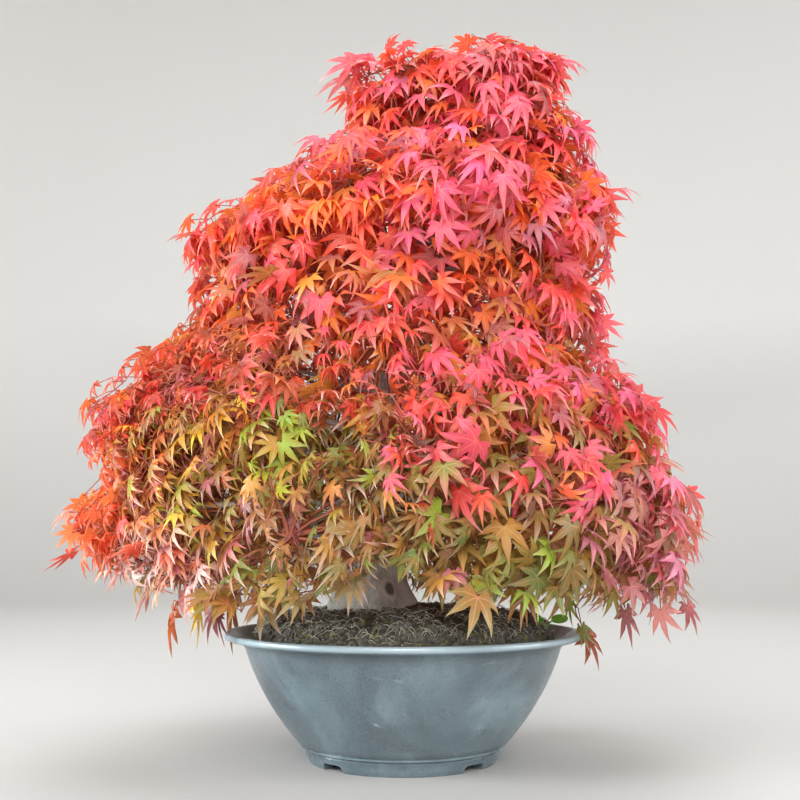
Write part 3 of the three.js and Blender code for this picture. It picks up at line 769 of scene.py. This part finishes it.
# Spots that turned before or after the rest, and one low on the left whose pale leaves are partly painted
# highlights: middle, radius and tones
SPOTS = [
    ((-105, -225, 300), 34, "lime green lime olive gold"),
    ((-185, -190, 250), 22, "lime yellow lime"),
    ((110, -225, 185), 48, "green lime green olive olive"),
    ((0, -215, 450), 60, "scarlet orange rose scarlet rose"),
    ((-60, -190, 545), 50, "orange vermilion orange amber scarlet"),
    ((90, -210, 440), 55, "pink rose pink lilac rose"),
    ((90, -180, 560), 50, "pink rose scarlet pink"),
    ((-190, -170, 375), 45, "mauve crimson rose mauve scarlet"),
    ((215, -60, 500), 60, "scarlet vermilion scarlet crimson"),
    ((230, -120, 235), 55, "lilac blush pink mauve lilac"),
    ((75, -60, 730), 70, "rose crimson rose mauve scarlet rose"),
    ((-60, -60, 690), 50, "rose mauve rose crimson"),
    # This spot's cream and pearl leaves are partly pale leaves and partly painted highlights, where side
    # light glances off them.
    ((-205, -135, 172), 66, "cream pearl blush mauve pearl salmon cream"),
    ((-175, -165, 275), 85, "gold yellow olive amber gold lime rust mauve"),
    ((150, 230, 300), 60, "amber gold orange amber"),
    ((-120, 230, 420), 60, "scarlet crimson vermilion scarlet"),
]
# Single leaves that stand out or hang low on long stalks: root, tip, tone, how pale its tips are (partly pale
# tips, partly painted highlights), model
SINGLE_LEAVES = [
    ((-217, -60, 146), (-225, -62, 103), "orange", 0.3, 6),
    ((-190, -80, 152), (-187, -82, 112), "yellow", 0.5, 6),
    ((-174, -90, 147), (-183, -92, 117), "mauve", 0.5, 5),
    ((-171, -88, 147), (-165, -92, 114), "mauve", 0.7, 6),
    ((-178, 62, 150), (-184, 60, 92), "brown", 0.1, 6),
    ((159, -40, 152), (160, -44, 130), "lime", 0.2, 5),
    ((168, -62, 130), (174, -66, 106), "green", 0.7, 5),
    ((175, -50, 122), (190, -52, 89), "rust", 0.3, 5),
    ((-240, -40, 172), (-262, -44, 136), "blush", 0.8, 6),
    ((-120, -150, 160), (-128, -154, 126), "olive", 0.7, 4),
    ((-322, -30, 200), (-350, -36, 180), "scarlet", 0.4, 6),
    ((206, -80, 146), (212, -84, 112), "mauve", 0.3, 5),
    ((268, -60, 150), (280, -62, 122), "mauve", 0.5, 5),
    ((236, -90, 148), (240, -94, 118), "blush", 0.4, 4),
    ((134, -30, 704), (150, -38, 662), "scarlet", 0.1, 5),
    ((-50, -58, 684), (-84, -62, 672), "rose", 0.4, 4),
    ((-56, -50, 670), (-92, -54, 658), "mauve", 0.3, 5),
    ((-36, -48, 694), (-66, -52, 688), "rose", 0.3, 5),
    ((-58, -20, 664), (-80, -24, 646), "scarlet", 0.2, 5),
]


def pull_lobe(root_angle, tip_angle, reach, droop):
    """Pulls one lobe out of the palm in three steps, first full, then narrower, then to a fine tip."""
    on_palm = [math.radians(root_angle + step) for step in (-24, 0, 24)]
    edge = [Vector((math.sin(angle), math.cos(angle), 0)) * PALM_RADIUS for angle in on_palm]
    pick("verts", lambda v: min((v.co.xy - point.xy).length for point in edge) < 0.02)
    tip = Vector((math.sin(math.radians(tip_angle)), math.cos(math.radians(tip_angle)), 0)) * reach
    way = tip - edge[1]
    done = 0
    for share, width in ((0.34, 0.98), (0.7, 0.42), (1, 0)):
        drop = -droop * reach * (share**2 - done**2)
        pull_out(way * (share - done) + Vector((0, 0, drop)))
        centre = edge[1] + way * share + Vector((0, 0, -droop * reach * share**2))
        bpy.ops.transform.resize(value=(width, width, width), center_override=centre)
        done = share


def mark(leaf, name, values, kind="FLOAT"):
    """Gives each of the leaf's points a value that the leaf's finish reads."""
    points = leaf.data.attributes.new(name, kind, "POINT").data
    points.foreach_set("value" if kind == "FLOAT" else "color", values)


def leaf_model(name, droop, fold, lean, width=1):
    """One blade: middle lobe 1 long along +Y, face towards +Z, and the stalk's end at the origin."""
    leaf = start_piece(
        bpy.ops.mesh.primitive_circle_add, name, vertices=15, radius=PALM_RADIUS, fill_type="TRIFAN",
    )
    pick("verts", lambda v: v.co.y < -0.2 and abs(v.co.x) < 0.1)
    bpy.ops.transform.translate(value=(0, STALK_NOTCH, 0))
    pick("verts", lambda v: v.co.length < 0.01)
    bpy.ops.transform.translate(value=(0, 0, PALM_DOME * droop))
    for root_angle, tip_angle, reach in LOBES:
        for hand in (1, -1) if root_angle else (1,):
            sag = droop * (1 + lean * hand * math.sin(math.radians(tip_angle)))
            pull_lobe(hand * root_angle, hand * tip_angle, reach, sag)
    pick("verts", lambda v: not v.is_boundary and v.co.length > 0.01)
    bpy.ops.transform.translate(value=(0, 0, -fold))
    pick_all()
    bpy.ops.transform.resize(value=(width, 1, 1), center_override=(0, 0, 0))
    finish_piece(leaf)
    if leaf.data.polygons[0].normal.z < 0:
        leaf.data.flip_normals()
    shape = bmesh.new()
    shape.from_mesh(leaf.data)
    ribs = [0.0 if v.is_boundary else 1.0 for v in shape.verts]
    shape.free()
    mark(leaf, "rib", ribs)
    return leaf


leaf_models = [
    leaf_model("leaf_open", 0.16, 0.025, 0.0), leaf_model("leaf_arched", 0.34, 0.03, 0.25),
    leaf_model("leaf_leaning", 0.28, 0.03, -0.5), leaf_model("leaf_hanging", 0.6, 0.04, 0.15, 0.82),
    leaf_model("leaf_drooping", 0.5, 0.035, -0.3, 0.75), leaf_model("leaf_closed", 0.5, 0.06, 0.2, 0.45),
    leaf_model("leaf_curled", 0.3, 0.08, 0.3, 0.24),
]
leaf_reaches = [[min(1, v.co.length / 1.02) for v in model.data.vertices] for model in leaf_models]

blade = Finish("maple_leaf")
tint = blade.add("Attribute", attribute_name="leaf_tint")
rib = blade.add("Attribute", attribute_name="rib").outputs["Fac"]
# The whitish tips are partly real pale tips and partly painted highlights, where side light glances off the
# leaves.
pale_tip_highlight = blade.add("Attribute", attribute_name="pale_tip_highlight").outputs["Fac"]
mottle = blade.patches(0.38, 0.66, 170, 4, 0.6)
face = blade.tinge(tint.outputs["Color"], mottle, 0.22, 226, 120, 60)
face = blade.tinge(face, blade.patches(0.5, 0.7, 60, 3), 0.16, 120, 40, 52)
vein = blade.fade(rib, 0.8, 1.0)
face = blade.tinge(face, vein, 0.28, 250, 190, 150)
face = blade.mix(pale_tip_highlight, face, linear(250, 228, 222))
blade.colour(face)
blade.uneven_sheen(0.3, 0.48, 90, 3)
blade.relief(blade.combine("SUBTRACT", blade.noise(420, 3), blade.times(vein, 0.6)), 0.0006, 0.5)
glow = blade.add("BsdfTranslucent", {"Color": blade.mix(0.3, face, linear(255, 150, 80))})
leaf_body = blade.add("MixShader", {0: 0.38, 1: blade.shader.outputs[0], 2: glow.outputs[0]})
blade.feed(blade.tree.nodes["Material Output"], {"Surface": leaf_body.outputs[0]})
blade.wear(*leaf_models)

twig_skin = Finish("twig_skin")
twig_skin.two_tone((120, 50, 40), (168, 96, 62), 260, 3)
twig_skin.uneven_sheen(0.45, 0.65, 400, 2)


def spread_heights(count, low, high, wobble):
    """Heights for that many leaves, so that each part of the crown gets them by its area."""
    steps = 240
    pitch = (high - low) / steps
    heights = [low + (i + 0.5) * pitch for i in range(steps)]
    totals, total = [], 0
    for height in heights:
        half = crown_row(height, LEAF_CROWN)[1]
        slope = (crown_row(height + 5, LEAF_CROWN)[1] - crown_row(height - 5, LEAF_CROWN)[1]) / 10
        total += half * math.hypot(1, slope)
        totals.append(total)
    found = []
    for k in range(count):
        index = bisect.bisect_left(totals, (k + 0.5) / count * total)
        found.append(heights[min(index, steps - 1)] + wobble.uniform(-4, 4))
    return found


def hem(azimuth):
    """How much higher than the lowest leaves the leaves end at an azimuth."""
    low, high, share = between(HEM, (math.degrees(azimuth) + 180) % 360 - 180)
    return low[1] + (high[1] - low[1]) * share


def nearest_of(places, point):
    """The number of the place that lies nearest to a point."""
    return min(range(len(places)), key=lambda i: (places[i] - point).length)


def tone_at(place, depth, rng):
    """The name of a leaf's tone, by its place about the pot's axis and its depth behind the outline."""
    x, z = place.x + rng.gauss(0, 26), place.z + rng.gauss(0, 20)
    spots = [words for middle, radius, words in SPOTS if (place - Vector(middle)).length < radius]
    if spots and rng.random() < 0.75:
        words = spots[0]
    # Most leaves behind the outline take the inner tones, partly a painted glow.
    elif depth > 18 and x > -235 and rng.random() < 0.7:
        words = next(tones for lowest, tones in INNER_AUTUMN if z >= lowest)
    else:
        stretches = next(level for lowest, level in AUTUMN if z >= lowest)
        words = next(tones for right, tones in stretches if x < right)
    return rng.choice(words.split())


def tint_of(tone, rng):
    """A tone's colour, a little lighter or darker and redder or yellower from leaf to leaf."""
    light = rng.uniform(0.84, 1.1)
    return linear(*(min(max(level * light + rng.uniform(-9, 9), 0), 255) for level in TONES[tone]))


def square_to(way, other):
    """The direction closest to this one that stands square to the other one."""
    return (way - way.dot(other) * other).normalized()


rng = random.Random(2024)
middles = [centre for centre, _ in sites]
leaves = [[] for _ in sites]  # each spray's leaves, as (root, midrib, face, size, model, tints, paleness)
for layer, (count, nearest, deepest) in enumerate(LAYERS):
    heights = spread_heights(count, LOWEST_LEAF, HIGHEST_LEAF - 6 * layer, rng)
    for k, height in enumerate(heights):
        azimuth = k * GOLDEN_ANGLE + layer + rng.uniform(-0.05, 0.05)
        outward = crown_normal(height, azimuth, LEAF_CROWN)
        surface = crown_point(height, azimuth, LEAF_CROWN)
        home = nearest_of(middles, surface)
        off_centre = (middles[home] - surface).cross(sites[home][1]).length / PAD_RADIUS
        depth = rng.uniform(nearest, deepest) + PAD_DROP * min(1, off_centre**2)
        if layer == 0 and rng.random() < STRAY_SHARE:
            depth -= rng.uniform(0.4, 1) * STRAY_REACH
        root = surface - depth * outward
        root.z -= CAP_SQUASH * max(root.z - CAP_START, 0)
        root.z = max(root.z, LOWEST_LEAF + hem(azimuth) + rng.triangular(-10, 26, 4))
        away = Vector((math.cos(azimuth), math.sin(azimuth), 0))
        stray = Vector([rng.gauss(0, 1) for _ in range(3)])
        high = ramp(root.z, 560, 680)  # the leaves near the top stand out more than they hang
        side = ramp(root.x, -40, -160) - 0.6 * ramp(root.x, 110, 230)
        combed = abs(side)  # the leaves to the left and right are swept outwards, edge-on to the front
        tilt = Vector((-0.4 * side, 0.2 * combed, 0.35 + 0.5 * high + 0.2 * combed))
        face_to = (0.8 * outward + tilt + 0.5 * stray).normalized()
        across = away.cross(Vector((0, 0, 1)))
        swing = 0.5 * math.sin(1.7 * home) + rng.gauss(0, 0.5 - 0.2 * combed)
        midrib = (0.9 + 0.4 * high) * away + Vector((-0.5 * side, 0, 0.5 * high - 1)) + across * swing
        midrib = square_to(midrib, face_to)
        low_left = root.x < 20 and root.z < 400
        size = rng.triangular(*LEAF_SIZES) * (LOW_LEFT_SIZE if low_left else 1)
        model = rng.choices(range(7), LOW_LEFT_MODELS if low_left else USUAL_MODELS)[0]
        # How pale the tips are: pale tips and painted highlights, strongest low on the left.
        pale = rng.random() ** (1.5 if root.z < 240 and root.x < 0 else 3) * (0.95 if low_left else 0.6)
        tints = [tint_of(tone_at(root, depth, rng), rng) for _ in range(2)]
        leaves[home].append((root, midrib, face_to, size, model, tints, pale))
        more = (rng.random() < LOW_LEFT_EXTRA) + sum(root.x < x for x in CROWDED) if low_left else 0
        for _ in range(more):
            beside = root + Vector((rng.gauss(0, 14), rng.gauss(0, 8), rng.uniform(-4, 22)))
            turned = square_to(midrib + across * rng.gauss(0, 0.5), face_to)
            tints = [tint_of(tone_at(beside, depth, rng), rng) for _ in range(2)]
            leaves[home].append((beside, turned, face_to, size * rng.uniform(0.8, 1.2), model, tints, pale))
for root, tip, tone, pale, model in SINGLE_LEAVES:
    root, tip = Vector(root), Vector(tip)
    midrib = (tip - root).normalized()
    face_to = square_to(Vector((rng.uniform(-0.6, 0.6), -1, 0.1)), midrib)
    home = nearest_of(middles, root)
    tints = [tint_of(tone, rng), tint_of(tone, rng)]
    leaves[home].append((root, midrib, face_to, (tip - root).length, model, tints, pale))


def twig_centres(points, rng):
    """Where the twigs of a spray end: the middles of groups of points that lie together."""
    centres = rng.sample(points, max(1, round(len(points) / LEAVES_PER_TWIG)))
    for _ in range(4):
        groups = [[] for _ in centres]
        for point in points:
            groups[nearest_of(centres, point)].append(point)
        centres = [sum(group, Vector()) / len(group) if group else centre
                   for group, centre in zip(groups, centres)]
    return centres


def make_spray(index):
    """One spray: its twigs and stalks as strands, and its leaves as copies of the modelled ones."""
    rng = random.Random(500 + index)
    centre, outward = sites[index]
    stalk_ends = [root - STALK_BACK * midrib - STALK_UNDER * face for root, midrib, face, *_ in leaves[index]]
    centres = twig_centres(stalk_ends, rng)
    lines = []
    for end in centres:
        bend = centre.lerp(end, 0.5) + Vector((0, 0, 0.1 * (end - centre).length)) - 3 * outward
        points = [centre, centre.lerp(bend, 0.6), bend.lerp(end, 0.45), end]
        lines.append((list(map(placed, points)), TWIG_TAPER))
    for (root, midrib, face, *_), stalk_end in zip(leaves[index], stalk_ends):
        twig = centres[nearest_of(centres, stalk_end)]
        points = [twig, twig.lerp(stalk_end, 0.75) + Vector((0, 0, 3)), root]
        lines.append((list(map(placed, points)), STALK_TAPER))
    parts = [strands(f"spray_twigs_{index + 1:02d}", lines, TWIG_THICKNESS, twig_skin.material)]
    for root, midrib, face, size, model, (palm_tint, tip_tint), pale in leaves[index]:
        stand = Matrix((midrib.cross(face), midrib, face)).transposed().to_4x4() @ Matrix.Scale(size * MM, 4)
        stand.translation = placed(root)
        leaf = copy_of(leaf_models[model], stand)
        reaches = leaf_reaches[model]
        tints = [p + (t - p) * 0.7 * reach for reach in reaches for p, t in zip(palm_tint, tip_tint)]
        mark(leaf, "leaf_tint", tints, "FLOAT_COLOR")
        mark(leaf, "pale_tip_highlight", [pale * reach**3 for reach in reaches])
        parts.append(leaf)
    return joined(parts, f"leafy_spray_{index + 1:02d}")


for index in range(SPRAYS):
    spray = make_spray(index)
    node = f"spray_{index + 1:02d}"
    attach(spray, "root")
    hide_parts(node)
for model in leaf_models:
    bpy.data.objects.remove(model)

# The weed: a seedling on the soil at the right of the trunk, with one round dark leaf and one tiny bright one
# on thin stems. It is soft and grew from one root.
WEED_ROOT = Vector((131, -42, 122))
WEED_LEAVES = [(Vector((148, -54, 140)), 8), (Vector((129, -58, 139)), 4)]
WEED_TILT, WEED_LEAF_THICKNESS, WEED_DOME = math.radians(-35), 0.7, 0.12
STEM_THICKNESS, STEM_TAPER = 0.9, (1.3, 1, 0.8)

weed_green = Finish("weed_green")
weed_green.two_tone((112, 172, 56), (158, 208, 84), 220, 3)
weed_green.uneven_sheen(0.35, 0.5, 300, 2)
stem_lines = []
weed_leaves = []
for at, radius in WEED_LEAVES:
    bend = WEED_ROOT.lerp(at, 0.5) + Vector((0, 0, 4))
    stem_lines.append((list(map(placed, (WEED_ROOT, bend, at))), STEM_TAPER))
    pad = start_disc("weed_leaf", 20, radius, at, "TRIFAN", rotation=(WEED_TILT, 0, 0))
    pick_all()
    bpy.ops.mesh.subdivide(number_cuts=1)
    pick("verts", lambda v: v.is_boundary)
    bpy.ops.transform.translate(value=(0, 0, -WEED_DOME * radius * MM))
    pick_all()
    pull_out((0, 0, -WEED_LEAF_THICKNESS * MM))
    weed_leaves.append(finish_piece(pad, 50))
    weed_green.wear(pad)
stems = strands("weed_stems", stem_lines, STEM_THICKNESS, weed_green.material, resolution=1)
weed = joined([stems, *weed_leaves], "soil_weed")
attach(weed, "root")
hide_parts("weed")

# The studio: a pale round floor that curves up into a wall far from the tree, so that it looks the same from
# every side, and large soft lamps. None of it belongs to the tree.
FLOOR_RADIUS, WALL_TOP_RADIUS, WALL_HEIGHT, CURVE_RADIUS = 4200, 5040, 4500, 1600
floor = start_disc("studio_floor", 96, FLOOR_RADIUS, (0, 0, 0), "NGON")
pick("edges", lambda edge: edge.is_boundary)
raise_rings(FLOOR_RADIUS, 0, [(WALL_TOP_RADIUS, WALL_HEIGHT)])
pick("edges", lambda edge: all(v.co.z < 0.1 for v in edge.verts) and len(edge.link_faces) == 2)
bpy.ops.mesh.bevel(offset=CURVE_RADIUS * MM, segments=14)
pick_all()
bpy.ops.mesh.normals_make_consistent(inside=True)
bpy.ops.object.mode_set(mode="OBJECT")
bpy.ops.object.shade_smooth()
paper = Finish("studio_paper")
# Painted light: the paper is painted darker on the floor and lighter up the wall, where the lamps reach less.
paper.colour(paper.mix(paper.by_height(0.01, 1.2), linear(170, 169, 167), linear(230, 229, 227)))
paper.sheen(0.9, 0.1)
paper.wear(floor)

LAMP_AIM = Vector((0, 0, 0.35))
# Name, place from the pot's axis in metres, size, watts, how many degrees the light fans out, colour
LAMPS = [
    ("key_lamp", (-1.2, -2.2, 2.3), 1.6, 60, 180, (1.0, 0.98, 0.96)),
    ("right_lamp", (2.7, -0.4, 0.8), 1.4, 32, 140, (0.95, 0.98, 1.0)),
    ("left_lamp", (-2.7, -0.5, 0.65), 1.2, 63, 140, (0.88, 0.96, 1.0)),
    ("front_lamp", (0.0, -2.6, 1.1), 1.3, 58, 180, (1.0, 0.98, 0.97)),
    ("top_lamp", (0.3, -0.2, 3.0), 1.8, 40, 180, (0.9, 0.92, 1.0)),
    ("back_lamp", (0.4, 2.4, 2.6), 2.0, 62, 180, (1.0, 0.98, 0.95)),
]
for name, place, size, watts, fan, colour in LAMPS:
    place = Vector(place)
    aim = (LAMP_AIM - place).to_track_quat("-Z", "Y")
    bpy.ops.object.light_add(type="AREA", location=POT_AXIS + place, rotation=aim.to_euler())
    lamp = bpy.context.object
    lamp.name = name
    lamp.data.size = size
    lamp.data.energy = watts
    lamp.data.spread = math.radians(fan)
    lamp.data.color = colour
    lamp.visible_camera = False

sky = bpy.data.worlds.new("studio_light")
sky.use_nodes = True
sky_light = sky.node_tree.nodes["Background"].inputs
sky_light["Color"].default_value = (0.93, 0.96, 1.0, 1)
sky_light["Strength"].default_value = 1.5
bpy.context.scene.world = sky
bpy.context.scene.view_settings.view_transform = "Standard"
